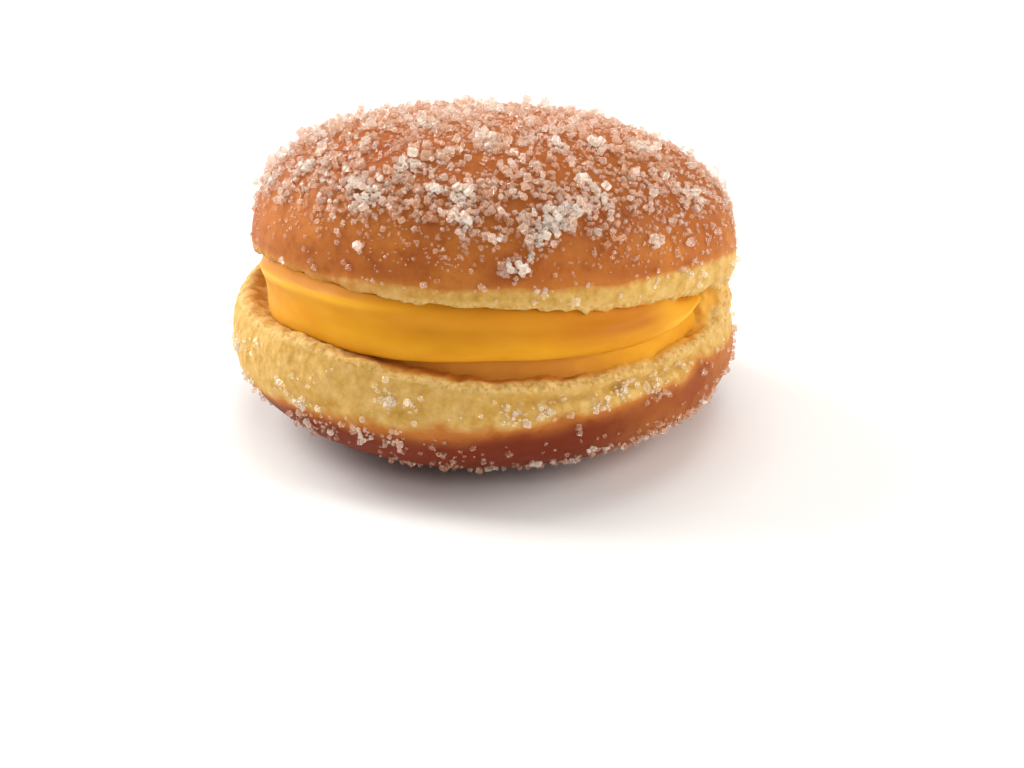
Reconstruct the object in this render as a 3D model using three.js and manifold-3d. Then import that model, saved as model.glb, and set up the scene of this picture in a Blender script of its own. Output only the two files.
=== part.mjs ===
// A round fried doughnut, cut open through its side like a mouth and filled with a thick layer of
// egg custard. The cut runs from the back on the left (-X) past the front to the right (+X), where
// it ends at a wall of torn crumb. From there to the back (+Y) the dough is uncut, so it is one
// solid. The custard is a second solid that runs through the mouth and shows along the cut.
// Coarse sugar is fused to the outside of the dough.
// Millimetres, +Z up, the mouth opens to -Y, the origin is the middle of the face it rests on.
import * as THREE from 'three';
import { mergeVertices } from 'three/addons/utils/BufferGeometryUtils.js';
import Module from 'manifold-3d';

// Each half of dough: widest radius, height of the pale belt between the cut and that radius,
// height of the dome beyond it, squareness of the dome (2 is an ellipse) and how far the belt
// draws in at the cut. side is -1 for the half below the cut and 1 for the half above it.
const bottomHalf = { side: -1, radius: 49.2, belt: 7.1, dome: 16.7, square: 2.35, waist: 1.1 };
const topHalf = { side: 1, radius: 47.6, belt: 4.4, dome: 26.6, square: 2.4, waist: 1.0 };
const restingDepth = 0.5; // what the rounded underside loses to the flat spot that it rests on
const bottomShift = -0.3; // sideways, along X
const topShift = 1.0;

// The cut and the way the mouth stands open.
const cutTilt = 6.7; // degrees, the cut rises towards the front
const openAngle = 8.9; // degrees, the top half is lifted about the hinge
const topRoll = 3.0; // degrees, the top half is lower on its left
const hingeY = 42; // where the cut ends
const hingeBulge = 1.6; // the top half's belt swells here to meet the bottom half
const wallStart = 91; // degrees from the front towards the right, where the cut ends
const wallEnd = 176; // degrees, where the wall of crumb is lost in the hinge
const wallRadius = 48.2;
const wallInside = 41; // the custard reaches this far behind the wall
const wallSunk = 1; // how deep the wall is fused into the two cut faces

// Waviness of the two lips as [waves round the rim, height of the cosine, height of the sine].
const bottomWaves = [[2, 0.7, -0.4], [3, 1.0, 0.75], [4, 0, -0.7], [5, 0.2, 0.4]];
const topWaves = [[2, 0, 1.5], [3, 0, -0.9], [4, 0, -0.2], [5, 0.4, 0]];
const flatCutRadius = 30; // inside this radius the cut faces are flat
const unevenness = 0.35; // shallow swells of the crust

// The custard: the radius of the ribbon that bulges out, and of the older layer under it.
const ribbonRadius = 44.4;
const layerRadius = 42.8;
const crestHeight = 1.1; // how far the ribbon's two crests stand out of its groove
const custardBack = 31; // Y of its back edge, where the mouth gets too narrow
const clearance = 0.3;
const flatShare = 0.7; // share of the custard's reach inside which its faces are flat

// Sugar: the largest clumps of crystals, as rough blocks sunk into the crust.
const grainCount = { top: 118, bottom: 48 };
const grainSize = [1.5, 2.3];
const grainSunk = 0.36; // share of its size below the crust
const grainSpacing = 4.2;
const grainSeed = 20755;

const roundSteps = 72;
const beltSteps = 3;
const domeSteps = 11;

const wasm = await Module();
wasm.setup();

const toRadians = THREE.MathUtils.degToRad;
const clamp = THREE.MathUtils.clamp;
const smoothstep = THREE.MathUtils.smoothstep;
const baseHeight = bottomHalf.belt + bottomHalf.dome - restingDepth; // the cut's height over the origin

// A closed three.js geometry as a solid that can be joined and cut.
function toSolid(geometry) {
  const bare = geometry.clone();
  for (const name of ['normal', 'uv']) {
    if (bare.hasAttribute(name)) bare.deleteAttribute(name);
  }
  const merged = mergeVertices(bare, 1e-4);
  const mesh = new wasm.Mesh({
    numProp: 3,
    vertProperties: new Float32Array(merged.attributes.position.array),
    triVerts: new Uint32Array(merged.index.array),
  });
  return new wasm.Manifold(mesh);
}

function toGeometry(solid) {
  const { vertProperties, triVerts } = solid.getMesh();
  const geometry = new THREE.BufferGeometry();
  geometry.setAttribute('position', new THREE.BufferAttribute(vertProperties, 3));
  geometry.setIndex(new THREE.BufferAttribute(triVerts, 1));
  geometry.computeVertexNormals();
  return geometry;
}

// A small repeatable random number generator.
function seededRandom(seed) {
  let state = seed >>> 0;
  return () => {
    state = (state + 0x6d2b79f5) >>> 0;
    let t = state;
    t = Math.imul(t ^ (t >>> 15), t | 1);
    t ^= t + Math.imul(t ^ (t >>> 7), t | 61);
    return ((t ^ (t >>> 14)) >>> 0) / 4294967296;
  };
}

// Degrees round the axis: 0 at the front, 90 at the right, -90 at the left.
function fromFront(x, y) {
  return THREE.MathUtils.radToDeg(Math.atan2(x, -y));
}

// The height that waves give a lip at an angle round it. They fade out towards the hinge.
function lipWave(waves, x, y) {
  const angle = Math.atan2(y, x);
  const fade = 1 - smoothstep(y, 5, 38);
  const sum = waves.reduce((h, [n, c, s]) => h + c * Math.cos(n * angle) + s * Math.sin(n * angle), 0);
  return sum * fade;
}

// How much of the lip's wave reaches a point of the cut face, by its distance from the axis.
function cutFade(radius, half) {
  const rim = half.radius - half.waist;
  return clamp((radius - flatCutRadius) / (rim - flatCutRadius), 0, 1);
}

// Where a point of a half's own round shape ends up: waves, swells, the tilt of the cut, the
// opening of the mouth. The half's own frame has its axis on Z and its flat cut at z = 0.
const openTop = new THREE.Matrix4()
  .makeRotationX(-toRadians(cutTilt))
  .multiply(new THREE.Matrix4().makeTranslation(0, hingeY, 0))
  .multiply(new THREE.Matrix4().makeRotationX(-toRadians(openAngle)))
  .multiply(new THREE.Matrix4().makeTranslation(0, -hingeY, 0))
  .multiply(new THREE.Matrix4().makeRotationY(-toRadians(topRoll)))
  .multiply(new THREE.Matrix4().makeTranslation(topShift, 0, 0));

function placePoint(point, half) {
  const radius = Math.hypot(point.x, point.y);
  const depth = Math.abs(point.z);
  const nearCut = clamp(1 - depth / (2 * half.belt), 0, 1);
  const back = clamp(point.y / half.radius, 0, 1) ** 3;
  const waves = half.side < 0 ? bottomWaves : topWaves;
  const moved = point.clone();
  moved.z += lipWave(waves, point.x, point.y) * nearCut * cutFade(radius, half);
  const swell = Math.sin(point.x / 7 + half.side) * Math.sin(point.y / 8 + 1) * Math.cos(point.z / 9);
  const bulge = half.side > 0 ? hingeBulge * back * nearCut : 0;
  const grow = 1 + (unevenness * swell * clamp(depth / half.belt, 0, 1) + bulge) / half.radius;
  moved.x *= grow;
  moved.y *= grow;
  if (half.side > 0) {
    moved.applyMatrix4(openTop);
  } else {
    const share = (moved.z + half.belt + half.dome) / (half.belt + half.dome);
    moved.z -= share * Math.tan(toRadians(cutTilt)) * moved.y;
    moved.x += bottomShift;
  }
  moved.z += baseHeight;
  return moved;
}

// Half the outline of a half of dough, from the middle of its cut face round to its pole.
function outlinePoint(half, t) {
  if (t < 1) {
    return new THREE.Vector2(half.radius - half.waist * (1 - t) ** 2, half.side * half.belt * t);
  }
  const angle = (t - 1) * Math.PI / 2;
  const power = 2 / half.square;
  return new THREE.Vector2(
    half.radius * Math.max(Math.cos(angle), 0) ** power,
    half.side * (half.belt + half.dome * Math.sin(angle) ** power),
  );
}

function halfOutline(half) {
  const rim = half.radius - half.waist;
  const points = [0, flatCutRadius, (flatCutRadius + rim) / 2].map((r) => new THREE.Vector2(r, 0));
  for (let i = 0; i < beltSteps; i += 1) {
    points.push(outlinePoint(half, i / beltSteps));
  }
  for (let i = 0; i < domeSteps; i += 1) {
    points.push(outlinePoint(half, 1 + i / domeSteps));
  }
  points.push(new THREE.Vector2(0, half.side * (half.belt + half.dome)));
  return points;
}

// A lathe about Z whose every point is then moved. The outline may run either way.
function movedLathe(outline, rising, move) {
  const geometry = new THREE.LatheGeometry(rising ? outline : outline.slice().reverse(), roundSteps);
  geometry.rotateX(Math.PI / 2);
  const position = geometry.attributes.position;
  const point = new THREE.Vector3();
  for (let i = 0; i < position.count; i += 1) {
    point.fromBufferAttribute(position, i);
    if (Math.hypot(point.x, point.y) < 1e-6) point.set(0, 0, point.z);
    const moved = move(point);
    position.setXYZ(i, moved.x, moved.y, moved.z);
  }
  return geometry;
}

function halfSolid(half) {
  return toSolid(movedLathe(halfOutline(half), half.side > 0, (point) => placePoint(point, half)));
}

// One clump of sugar: a rough block, a little larger or smaller on each side, turned at random.
function grainSolid(centre, normal, random) {
  const sides = [0, 1, 2].map(() => THREE.MathUtils.lerp(...grainSize, random() ** 1.6));
  const block = new THREE.BoxGeometry(...sides);
  const turn = new THREE.Euler(random() * Math.PI, random() * Math.PI, random() * Math.PI);
  block.applyMatrix4(new THREE.Matrix4().makeRotationFromEuler(turn));
  const lift = (0.5 - grainSunk) * Math.min(...sides);
  block.translate(...centre.clone().addScaledVector(normal, lift).toArray());
  return toSolid(block);
}

// A point of the finished crust and the direction out of it.
function crustPoint(half, angle, t) {
  const at = (a, u) => {
    const outline = outlinePoint(half, u);
    return placePoint(new THREE.Vector3(outline.x * Math.cos(a), outline.x * Math.sin(a), outline.y), half);
  };
  const small = 0.01;
  const point = at(angle, t);
  const along = at(angle + small, t).sub(point);
  const up = at(angle, t + small).sub(point);
  const normal = along.cross(up).normalize().multiplyScalar(half.side);
  return { point, normal };
}

// Places for the grains, spread evenly at random over the crust, clear of the lips, the hinge
// and the surface that the doughnut rests on.
function grainPlaces(half, count, random) {
  const places = [];
  for (let tries = 0; places.length < count && tries < 20000; tries += 1) {
    const angle = random() * 2 * Math.PI;
    const t = half.side > 0 ? 0.9 + 1.02 * random() ** 0.8 : 0.55 + 0.85 * random();
    const ringShare = outlinePoint(half, t).x / half.radius;
    if (random() > ringShare) continue;
    const { point, normal } = crustPoint(half, angle, t);
    const nearHinge = point.y > 38 && t < 1.15;
    if (nearHinge || point.z < 4.5) continue;
    if (places.every((other) => other.point.distanceTo(point) > grainSpacing)) {
      places.push({ point, normal });
    }
  }
  return places;
}

// The custard's outline in its own frame: z runs from 0 at the lower cut face to 1 at the upper
// one. The layer under the ribbon takes the heights up to layerShare, the ribbon the rest.
const layerShare = 0.2;
const custardRings = [0.03, 0.17, 0.22, 0.3, 0.4, 0.52, 0.62, 0.74, 0.86, 0.97];

// The share of the mouth's height at which the ribbon ends and the layer under it shows: the
// ribbon lies on the lower lip at the left, clears it at the front and rises to the upper lip at
// the right.
function ribbonFoot(x, y) {
  const bearing = fromFront(x, y);
  const lifted = 0.26 * smoothstep(bearing, -22, 28) + 0.06 * smoothstep(bearing, 55, 75);
  const tip = 0.5 * clamp((bearing - 20) / 65, 0, 1) ** 10;
  return 0.02 + (lifted + tip) * (1 - smoothstep(bearing, 110, 170));
}

// The radius of the custard's side: the layer, then the ribbon with a groove between two crests.
function custardRadius(height) {
  const inRibbon = smoothstep(height, layerShare - 0.04, layerShare + 0.03);
  const share = clamp((height - layerShare) / (1 - layerShare), 0, 1);
  const crests = crestHeight * (0.5 - 0.5 * Math.cos(4 * Math.PI * share));
  return layerRadius + inRibbon * (ribbonRadius - layerRadius + crests) - 0.8 * share ** 6;
}

// The heights of the two faces of the mouth over a point, each with its own wave. Waves are read
// in each half's own frame, so the top half's turned frame is undone for them.
const closeTop = openTop.clone().invert();
const topFacePoint = new THREE.Vector3(0, 0, 0).applyMatrix4(openTop);
const topFaceNormal = new THREE.Vector3(0, 0, 1).transformDirection(openTop);

function bottomFace(x, y) {
  const localX = x - bottomShift;
  const wave = lipWave(bottomWaves, localX, y) * cutFade(Math.hypot(localX, y), bottomHalf);
  const share = 1 + wave / (bottomHalf.belt + bottomHalf.dome);
  return baseHeight + wave - share * Math.tan(toRadians(cutTilt)) * y;
}

function topFace(x, y) {
  const flat = topFacePoint.z
    - (topFaceNormal.x * (x - topFacePoint.x) + topFaceNormal.y * (y - topFacePoint.y)) / topFaceNormal.z;
  const local = new THREE.Vector3(x, y, flat).applyMatrix4(closeTop);
  const wave = lipWave(topWaves, local.x, local.y) * cutFade(Math.hypot(local.x, local.y), topHalf);
  return baseHeight + flat + wave / topFaceNormal.z;
}

// How far custard that would reach to a front radius gets: it draws in behind the wall of crumb,
// and the back edge is cut off straight, with round corners.
function custardReach(front, angle) {
  const bearing = fromFront(Math.cos(angle), Math.sin(angle));
  const walled = THREE.MathUtils.lerp(front, wallInside, smoothstep(bearing, wallStart - 2, wallStart + 10));
  const limit = custardBack / Math.max(Math.sin(angle), 1e-3);
  return Math.sin(angle) > 0 ? (walled ** -8 + limit ** -8) ** (-1 / 8) : walled;
}

// A point of the custard: its distance from the axis as a share of the reach, its height as a
// share of the mouth.
function custardPoint(point) {
  const angle = Math.atan2(point.y, point.x);
  const share = Math.hypot(point.x, point.y);
  const reach = custardReach(custardRadius(point.z), angle);
  const flat = Math.min(flatCutRadius, 0.9 * reach);
  const radius = share <= flatShare
    ? flat * share / flatShare
    : THREE.MathUtils.lerp(flat, reach, (share - flatShare) / (1 - flatShare));
  const x = radius * Math.cos(angle);
  const y = radius * Math.sin(angle);
  const foot = ribbonFoot(x, y);
  const height = point.z < layerShare
    ? foot * point.z / layerShare
    : foot + (1 - foot) * (point.z - layerShare) / (1 - layerShare);
  const low = bottomFace(x, y) + clearance;
  const high = topFace(x, y) - clearance;
  return new THREE.Vector3(x, y, THREE.MathUtils.lerp(low, high, height));
}

function custardSolid() {
  const faceSteps = [0, flatShare, 0.985];
  const outline = [
    ...faceSteps.map((share) => new THREE.Vector2(share, 0)),
    ...custardRings.map((height) => new THREE.Vector2(1, height)),
    ...faceSteps.slice().reverse().map((share) => new THREE.Vector2(share, 1)),
  ];
  return toSolid(movedLathe(outline, true, custardPoint));
}

// A disc between the two cut faces, sunk into both, with its own radius at each angle.
function mouthDisc(radiusAt, sunk) {
  const shares = [0, 0.6, 0.8, 1];
  const outline = [
    ...shares.map((share) => new THREE.Vector2(share, 0)),
    ...shares.slice().reverse().map((share) => new THREE.Vector2(share, 1)),
  ];
  return toSolid(movedLathe(outline, true, (point) => {
    const angle = Math.atan2(point.y, point.x);
    const radius = Math.hypot(point.x, point.y) * radiusAt(angle);
    const x = radius * Math.cos(angle);
    const y = radius * Math.sin(angle);
    return new THREE.Vector3(x, y, THREE.MathUtils.lerp(bottomFace(x, y) - sunk, topFace(x, y) + sunk, point.z));
  }));
}

// The uncut dough from the right end of the cut round to the hinge, clear of the custard.
function crumbWall() {
  const widest = ribbonRadius + crestHeight;
  const outside = mouthDisc((angle) => {
    const bearing = fromFront(Math.cos(angle), Math.sin(angle));
    return bearing > wallStart && bearing < wallEnd ? wallRadius : wallInside - 2;
  }, wallSunk);
  const pocket = mouthDisc((angle) => custardReach(widest, angle) + 2 * clearance, 2 * wallSunk);
  return outside.subtract(pocket);
}

function doughSolid() {
  const floorCut = new THREE.BoxGeometry(140, 140, 40).translate(0, 0, -20);
  let dough = halfSolid(bottomHalf).add(halfSolid(topHalf)).add(crumbWall()).subtract(toSolid(floorCut));
  const random = seededRandom(grainSeed);
  const places = [
    ...grainPlaces(topHalf, grainCount.top, random),
    ...grainPlaces(bottomHalf, grainCount.bottom, random),
  ];
  for (const { point, normal } of places) {
    dough = dough.add(grainSolid(point, normal, random));
  }
  return dough;
}

function namedMesh(name, solid, material) {
  const mesh = new THREE.Mesh(toGeometry(solid), material);
  mesh.name = name;
  return mesh;
}

// Fried dough, golden brown with a matt, sugary surface.
const crustMaterial = new THREE.MeshStandardMaterial({ color: 0xb56a38, roughness: 0.7, metalness: 0 });

// Cooked egg custard, deep yellow with a soft gloss.
const custardMaterial = new THREE.MeshStandardMaterial({ color: 0xf0a92c, roughness: 0.35, metalness: 0 });

const doughnut = new THREE.Group();
doughnut.add(namedMesh('dough_bun', doughSolid(), crustMaterial));
doughnut.add(namedMesh('custard_filling', custardSolid(), custardMaterial));

export default doughnut;
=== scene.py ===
import math

import bpy
import numpy as np
from mathutils import Matrix, Vector
from mathutils.bvhtree import BVHTree


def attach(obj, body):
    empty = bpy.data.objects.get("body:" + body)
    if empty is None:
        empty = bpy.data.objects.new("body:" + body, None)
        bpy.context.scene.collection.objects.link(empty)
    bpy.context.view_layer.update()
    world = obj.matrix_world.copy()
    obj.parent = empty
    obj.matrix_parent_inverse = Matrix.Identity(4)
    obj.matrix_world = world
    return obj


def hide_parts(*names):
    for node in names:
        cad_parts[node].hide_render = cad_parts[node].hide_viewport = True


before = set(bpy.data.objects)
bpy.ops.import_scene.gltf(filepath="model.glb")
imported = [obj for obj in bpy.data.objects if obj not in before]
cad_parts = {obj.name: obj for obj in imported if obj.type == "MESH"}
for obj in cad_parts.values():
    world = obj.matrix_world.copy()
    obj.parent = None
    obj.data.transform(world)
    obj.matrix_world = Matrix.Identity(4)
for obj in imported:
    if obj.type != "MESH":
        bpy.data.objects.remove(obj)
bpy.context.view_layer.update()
mm = 0.001  # all sizes below are real millimetres

# The dough, as the solid has it: two domes, each with a pale belt next to the cut.
bottomHalf = {"side": -1, "radius": 49.2, "belt": 7.1, "dome": 16.7, "square": 2.35, "waist": 1.1,
              "lipRound": 1.5, "waves": [(2, 0.7, -0.4), (3, 1.0, 0.75), (4, 0.0, -0.7), (5, 0.2, 0.4)]}
topHalf = {"side": 1, "radius": 47.6, "belt": 4.4, "dome": 26.6, "square": 2.4, "waist": 1.0,
           "lipRound": 0.8, "waves": [(2, 0.0, 1.5), (3, 0.0, -0.9), (4, 0.0, -0.2), (5, 0.4, 0.0)]}
mouth = {"cutTilt": 6.7, "openAngle": 8.9, "topRoll": 3.0, "hingeY": 42.0, "hingeBulge": 1.6,
         "bottomShift": -0.3, "topShift": 1.0, "restingDepth": 0.5, "flatCutRadius": 30.0, "swell": 0.35}
# Torn crumb joins the halves from the right end of the cut round to the hinge at the back.
crumbWall = {
    "start": 92.0, "end": 172.0, "rise": (3.5, 2.0), "fall": 5.0,  # degrees from the front, and how fast
    "outside": 48.0, "inside": 41.0, "sunk": 1.6,
    "slant": 6.0, "slantFrom": 47.0, "slantOver": 4.5,  # its inner side begins earlier, by degrees
    "depth": 4.0, "sill": 1.2,  # below the lower cut face, and its height where it is out of sight
}
baseHeight = bottomHalf["belt"] + bottomHalf["dome"] - mouth["restingDepth"]
middlePoint = (0, 0, 30)  # about the middle of the doughnut


def deselectAll():
    if bpy.context.object and bpy.context.object.mode != "OBJECT":
        bpy.ops.object.mode_set(mode="OBJECT")
    bpy.ops.object.select_all(action="DESELECT")


def makeActive(piece):
    deselectAll()
    piece.select_set(True)
    bpy.context.view_layer.objects.active = piece


def applyModifier(piece, kind, **settings):
    makeActive(piece)
    modifier = piece.modifiers.new(kind.lower(), kind)
    for key, value in settings.items():
        setattr(modifier, key, value)
    bpy.ops.object.modifier_apply(modifier=modifier.name)


def getPoints(piece):
    flat = np.empty(len(piece.data.vertices) * 3, np.float32)
    piece.data.vertices.foreach_get("co", flat)
    return flat.reshape(-1, 3).astype(np.float64) / mm


def setPoints(piece, points):
    piece.data.vertices.foreach_set("co", (points * mm).astype(np.float32).ravel())
    piece.data.update()


def getNormals(piece):
    flat = np.empty(len(piece.data.vertices) * 3, np.float32)
    piece.data.vertex_normals.foreach_get("vector", flat)
    return flat.reshape(-1, 3).astype(np.float64)


def setAttribute(piece, name, values):
    attribute = piece.data.attributes.new(name, "FLOAT", "POINT")
    attribute.data.foreach_set("value", values.astype(np.float32))


def smoothStep(x, low, high):
    t = np.clip((x - low) / (high - low), 0, 1)
    return t * t * (3 - 2 * t)


def within(x, low, full, fading, gone):
    # rises from low to full and falls from fading to gone
    return smoothStep(x, low, full) * (1 - smoothStep(x, fading, gone))


def hollowAt(values, centre, width):
    return np.exp(-((values - centre) / width) ** 2)


# Smooth random values in space, between -1 and 1, with bumps about as wide as size.
noiseTable = np.random.default_rng(7).random((32, 32, 32)) * 2 - 1


def softNoise(points, size, shift=0.0):
    p = points / np.asarray(size) + shift * 7.31 + 400.0
    cell = np.floor(p).astype(int)
    f = p - cell
    f = f * f * (3 - 2 * f)
    total = 0.0
    for corner in range(8):
        step = np.array([corner & 1, corner >> 1 & 1, corner >> 2 & 1])
        index = (cell + step) % 32
        weight = np.prod(np.where(step, f, 1 - f), axis=1)
        total = total + weight * noiseTable[index[:, 0], index[:, 1], index[:, 2]]
    return total


def layeredNoise(points, size, layers=3, shift=0.0):
    total = 0.0
    for layer in range(layers):
        total = total + softNoise(points, np.asarray(size) / 2 ** layer, shift + layer) / 2 ** layer
    return total


def bumps(points, height, width, layers, shift):
    return height * layeredNoise(points, width, layers, shift)


# Shape rules shared by the dough and the custard.
def rotation(degrees, axis):
    return Matrix.Rotation(math.radians(degrees), 4, axis)


openTop = np.array(
    rotation(-mouth["cutTilt"], "X")
    @ Matrix.Translation((0, mouth["hingeY"], 0))
    @ rotation(-mouth["openAngle"], "X")
    @ Matrix.Translation((0, -mouth["hingeY"], 0))
    @ rotation(-mouth["topRoll"], "Y")
    @ Matrix.Translation((mouth["topShift"], 0, 0))
)
closeTop = np.linalg.inv(openTop)
slope = math.tan(math.radians(mouth["cutTilt"]))


def moveBy(matrix, points):
    return points @ matrix[:3, :3].T + matrix[:3, 3]


def lipWave(half, x, y):
    angle = np.arctan2(y, x)
    height = sum(c * np.cos(n * angle) + s * np.sin(n * angle) for n, c, s in half["waves"])
    return height * (1 - smoothStep(y, 5, 38))


def cutFade(half, radius):
    rim = half["radius"] - half["waist"]
    return np.clip((radius - mouth["flatCutRadius"]) / (rim - mouth["flatCutRadius"]), 0, 1)


def fromFront(x, y):
    return np.degrees(np.arctan2(x, -y))  # 0 at the front, 90 at the right, -90 at the left


def placePoints(half, points):
    x, y, z = points.T
    radius = np.hypot(x, y)
    depth = np.abs(z)
    nearCut = np.clip(1 - depth / (2 * half["belt"]), 0, 1)
    swell = np.sin(x / 7 + half["side"]) * np.sin(y / 8 + 1) * np.cos(z / 9)
    bulge = mouth["hingeBulge"] * np.clip(y / half["radius"], 0, 1) ** 3 * nearCut if half["side"] > 0 else 0
    grow = 1 + (mouth["swell"] * swell * np.clip(depth / half["belt"], 0, 1) + bulge) / half["radius"]
    moved = np.stack([x * grow, y * grow, z + lipWave(half, x, y) * nearCut * cutFade(half, radius)], 1)
    if half["side"] > 0:
        moved = moveBy(openTop, moved)
    else:
        whole = half["belt"] + half["dome"]
        moved[:, 2] -= (moved[:, 2] + whole) / whole * slope * moved[:, 1]
        moved[:, 0] += mouth["bottomShift"]
    moved[:, 2] += baseHeight
    return moved


def inBottomFrame(points):
    whole = bottomHalf["belt"] + bottomHalf["dome"]
    x = points[:, 0] - mouth["bottomShift"]
    y = points[:, 1]
    z = (points[:, 2] - baseHeight + slope * y) / (1 - slope * y / whole)
    return np.stack([x, y, z], 1)


def inTopFrame(points):
    return moveBy(closeTop, points - [0, 0, baseHeight])


def fromCut(half, local):
    # distance of a point from the cut, positive inside its own half
    wave = lipWave(half, local[:, 0], local[:, 1]) * cutFade(half, np.hypot(local[:, 0], local[:, 1]))
    return half["side"] * (local[:, 2] - wave)


def faceHeight(half, x, y):
    if half["side"] < 0:
        wave = lipWave(half, x - mouth["bottomShift"], y)
        wave = wave * cutFade(half, np.hypot(x - mouth["bottomShift"], y))
        return baseHeight + wave - (1 + wave / (half["belt"] + half["dome"])) * slope * y
    origin, normal = openTop[:3, 3], openTop[:3, 2]
    flat = origin[2] - (normal[0] * (x - origin[0]) + normal[1] * (y - origin[1])) / normal[2]
    local = moveBy(closeTop, np.stack([x, y, flat], 1))
    wave = lipWave(half, local[:, 0], local[:, 1]) * cutFade(half, np.hypot(local[:, 0], local[:, 1]))
    return baseHeight + flat + wave / normal[2]


def halfOutline(half):
    # radius and height of each ring, from the middle of the cut face round the lip to the pole
    side, rim, lip = half["side"], half["radius"] - half["waist"], half["lipRound"]
    lipSteps, beltSteps, domeSteps = 4, 4, 23
    rings = [(radius, 0) for radius in (6, 20, 30, 36, 41, 44)]
    for i in range(lipSteps + 1):
        angle = math.radians(90 * i / lipSteps)
        rings.append((rim - lip + lip * math.sin(angle), side * lip * (1 - math.cos(angle))))
    start = lip / half["belt"]
    for i in range(1, beltSteps + 1):
        t = start + (1 - start) * i / beltSteps
        rings.append((half["radius"] - half["waist"] * (1 - t) ** 2, side * half["belt"] * t))
    power = 2 / half["square"]
    for i in range(1, domeSteps):
        angle = math.radians(90 * i / (domeSteps + 0.5))
        radius = half["radius"] * math.cos(angle) ** power
        rings.append((radius, side * (half["belt"] + half["dome"] * math.sin(angle) ** power)))
    return rings


def extrudeRings(name, rings, sides):
    # a circle extruded and scaled ring by ring, as a vase is made by hand, and closed at both ends
    deselectAll()
    radius, height = rings[0]
    bpy.ops.mesh.primitive_circle_add(vertices=sides, radius=radius * mm, fill_type="NGON",
                                      location=(0, 0, height * mm))
    piece = bpy.context.object
    piece.name = piece.data.name = name
    bpy.ops.object.transform_apply(location=True, rotation=False, scale=False)
    bpy.ops.object.mode_set(mode="EDIT")
    bpy.ops.mesh.select_all(action="SELECT")
    for (radiusNow, heightNow), (radiusNext, heightNext) in zip(rings, rings[1:]):
        bpy.ops.mesh.extrude_region_move(
            TRANSFORM_OT_translate={"value": (0, 0, (heightNext - heightNow) * mm)})
        scale = radiusNext / radiusNow
        bpy.ops.transform.resize(value=(scale, scale, 1))
    bpy.ops.mesh.select_all(action="SELECT")
    bpy.ops.mesh.normals_make_consistent(inside=False)
    bpy.ops.object.mode_set(mode="OBJECT")
    return piece


# Camera. Places on the crust are given in its picture, so it comes before the dough.
camera = {"azimuth": 20, "elevation": 24, "lens": 180, "sensor": 36, "frame": (1024, 768),
          "distance": 1006.1, "target": middlePoint, "targetPixel": (485.3, 268.7), "clip": (0.05, 50)}


def cameraAxes():
    a, e = math.radians(camera["azimuth"]), math.radians(camera["elevation"])
    back = Vector((math.sin(a) * math.cos(e), -math.cos(a) * math.cos(e), math.sin(e)))
    right = Vector((math.cos(a), math.sin(a), 0))
    return back, right, back.cross(right)


def eyePoint():
    return Vector(camera["target"]) + cameraAxes()[0] * camera["distance"]


def rayThrough(pixel):
    back, right, up = cameraAxes()
    pixels = camera["lens"] / camera["sensor"] * camera["frame"][0]
    across, down = (pixel[i] - camera["targetPixel"][i] for i in (0, 1))
    return -back * pixels + right * across - up * down


def makeCamera():
    data = bpy.data.cameras.new("camera")
    data.lens, data.sensor_width = camera["lens"], camera["sensor"]
    data.clip_start, data.clip_end = camera["clip"]
    eye = bpy.data.objects.new("camera", data)
    eye.location = eyePoint() * mm
    aim = rayThrough((camera["frame"][0] / 2, camera["frame"][1] / 2))
    eye.rotation_euler = aim.to_track_quat("-Z", "Y").to_euler()
    bpy.context.scene.collection.objects.link(eye)
    bpy.context.scene.camera = eye


def solidCrust():
    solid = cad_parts["dough_bun"].data
    solid.calc_loop_triangles()
    corners = [tuple(face.vertices) for face in solid.loop_triangles]
    return BVHTree.FromPolygons([corner.co / mm for corner in solid.vertices], corners, all_triangles=True)


crust = solidCrust()


def onCrust(rows):
    # Three numbers are a pixel across and down in the picture and a width in mm. The place is where the
    # pixel's ray meets the solid, to a tenth of a mm. Four numbers are x, y, z and a width in mm.
    spots = []
    for *place, width in rows:
        if len(place) == 2:
            ray = rayThrough(place).normalized()
            place = [round(c, 1) for c in crust.ray_cast(eyePoint(), ray)[0]]
        spots.append((*place, width))
    return spots


def nearSpots(centres, spots):
    total = np.zeros(len(centres))
    for *spot, width in spots:
        total += np.exp(-2 * np.sum((centres - spot) ** 2, axis=1) / width ** 2)
    return total


# Dough: the two halves are shaped apart, grown together at the hinge, then refined and sculpted.
# Relief is given as height and width in mm, how many sizes lie over one another, and a shift.
# Bearings are in degrees from the front, positive towards the right.
dough = {
    "sides": 160,
    "voxel": 0.85, "smoothing": {"factor": 0.5, "iterations": 3},
    "refineLips": (7.4, 40.0, 30.0),  # subdivided this near the cut, this far from the axis, up to this Y
    "crumb": (0.5, 2.6, 2, 0.0), "crumbGrit": (0.16, 1.0, 2, 5.0),
    "wallCrumb": (0.5, (2.6, 2.6, 4.0), 2, 13.0),
    "belt": (0.35, 5.0, 1, 2.0), "beltGrit": (0.2, 1.5, 2, 1.0),
    "skin": (0.3, 9.0, 1, 4.0), "wrinkles": (0.16, (7.0, 2.6, 2.2), 2, 6.0), "wrinkledAbove": (42, 58),
    "lipEdge": (0.3, 1.0, 36),  # its middle and width from the cut, and where it ends at the back
    "rags": {"length": 0.72, "noise": (1.0, 1.7, 2, 14.0), "radius": (43, 45.5)},
    "crease": {"depth": 1.3, "fromCut": 2.7, "wander": (0.9, 8.0, 1, 9.0), "width": 0.7,
               "bearings": (18, 34, 72, 92), "radius": (45, 47.5)},
    "fold": {"depth": 0.35, "width": 1.6, "y": (40, 46), "even": 0.6, "uneven": (0.6, 7.0, 1, 8.0)},
    "raisedRim": {"height": 2.3, "bearings": (42, 66, 92, 125), "radius": (42.5, 46.5), "fades": (1, 11)},
}
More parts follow.
